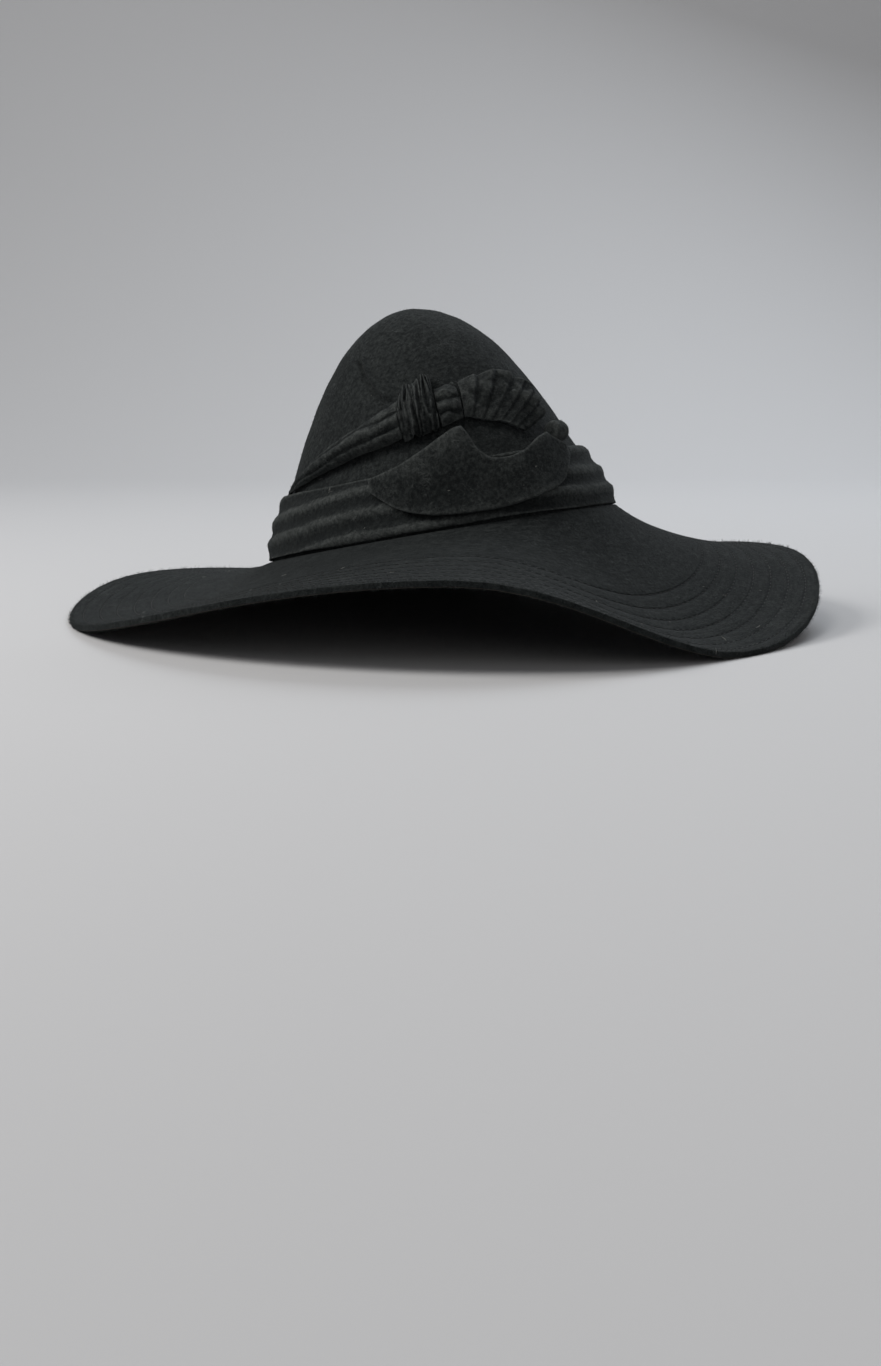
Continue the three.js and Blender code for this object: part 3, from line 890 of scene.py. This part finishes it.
def grow_fibres(name, felt, seed, count, most, least=NAP_LEAST, where=None):
    """Thin closed spikes with one bend, from least to most long, rooted at random on the faces of a piece."""
    chance = random.Random(seed)
    host = felt.data
    faces_in = [f for f in host.polygons if where is None or where(f.center)]
    points, faces = [], []
    for face in chance.choices(faces_in, weights=[f.area for f in faces_in], k=count):
        corners = [host.vertices[i].co for i in face.vertices]
        mix = [chance.random() for _ in corners]
        total = sum(mix)
        root = sum((c * (m / total) for c, m in zip(corners, mix)), Vector())
        length = chance.uniform(least, most)
        lean = Vector((chance.gauss(0, 1), chance.gauss(0, 1), chance.gauss(0, 1)))
        ahead = (face.normal + FIBRE_SPREAD * lean).normalized()
        if ahead.dot(face.normal) < FIBRE_FLATTEST:
            ahead = (ahead + face.normal).normalized()
        swerve = Vector((chance.gauss(0, 1), chance.gauss(0, 1), chance.gauss(0, 1)))
        bend = (ahead + FIBRE_BEND * swerve).normalized()
        across = ahead.orthogonal().normalized() * FIBRE_RADIUS
        over = ahead.cross(across)
        middle = root + ahead * (0.5 * length)
        start = len(points)
        points += three_round(root - ahead * FIBRE_ROOT, across, over)
        points += three_round(middle, across, over)
        points.append(middle + bend * (0.5 * length))
        for point in points[start:]:
            point.z = max(point.z, 0.0)
        faces.append((start + 2, start + 1, start))
        faces += wall_of_three(start)
        faces += [(start + 3 + k, start + 3 + (k + 1) % 3, start + 6) for k in range(3)]
    grown = mesh_piece(name, points, faces, loose_wool)
    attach(grown, "root")


def at_cut_edge(co):
    return from_edge(co) < FUZZ_REACH


def inside_cut_edge(co):
    return from_edge(co) >= FUZZ_REACH


def above_crown_foot(co):
    return crown_place(co)[1] > CROWN_NAP_FROM


grow_fibres("brim_edge_fuzz", brim, 0, count=8000, most=0.0022, least=FUZZ_LEAST,
            where=at_cut_edge)
grow_fibres("brim_nap", brim, 1, count=7000, most=0.0009, where=inside_cut_edge)
grow_fibres("crown_nap", crown, 2, count=7000, most=0.001, where=above_crown_foot)
grow_fibres("band_nap", band, 3, count=3000, most=0.001)
grow_fibres("side_loop_nap", side_loop, 4, count=900, most=0.001)
grow_fibres("puff_nap", puff, 5, count=1200, most=0.0012)
grow_fibres("small_loop_nap", small_loop, 6, count=700, most=0.001)
grow_fibres("fan_nap", fan, 7, count=2000, most=0.0012)
grow_fibres("front_fold_nap", front_fold, 8, count=2200, most=0.0012)
grow_fibres("rolled_end_nap", rolled_end, 9, count=500, most=0.001)

# Lint
# A few pale threads and specks that have caught in the felt. They lie on it, curled at random, and nothing
# else holds them.
LINT_COLOUR = (0.32, 0.32, 0.3, 1)
LINT_RADIUS = 0.00006
LINT_STEPS = (0.0002, 0.0003, 0.0007, 0.001)
LINT_RINGS = 5
LINT_CURL = 0.6
LINT_SEED = 31
LINT_HOSTS = (
    {"felt": brim, "slot": "brim_felt", "count": 70},
    {"felt": crown, "slot": "crown_felt", "count": 26},
    {"felt": front_fold, "slot": "trim_felt", "count": 6},
    {"felt": band, "slot": "trim_felt", "count": 12},
)

pale_lint = Cloth("pale_lint")
pale_lint.set(Base_Color=LINT_COLOUR, Roughness=WOOL_ROUGHNESS, Specular_IOR_Level=WOOL_SHINE)
chance = random.Random(LINT_SEED)
for host in LINT_HOSTS:
    host_faces = host["felt"].data.polygons
    points, faces = [], []
    for face in chance.choices(host_faces, weights=[f.area for f in host_faces], k=host["count"]):
        out = face.normal.copy()
        heading = out.orthogonal().normalized()
        heading = Matrix.Rotation(chance.uniform(0, 2 * math.pi), 3, out) @ heading
        spot = face.center + out * 1.5 * LINT_RADIUS
        step = chance.choice(LINT_STEPS)
        start = len(points)
        for ring in range(LINT_RINGS):
            beside = out.cross(heading).normalized()
            points += three_round(spot, beside * LINT_RADIUS, out * LINT_RADIUS)
            spot = spot + heading * step
            heading = (Matrix.Rotation(chance.gauss(0, LINT_CURL), 3, out) @ heading).normalized()
        last = start + 3 * (LINT_RINGS - 1)
        for first in range(start, last, 3):
            faces += wall_of_three(first)
        faces += [(start + 2, start + 1, start), (last, last + 1, last + 2)]
    lint = mesh_piece("lint_on_" + host["felt"].name, points, faces, pale_lint)
    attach(lint, "root")
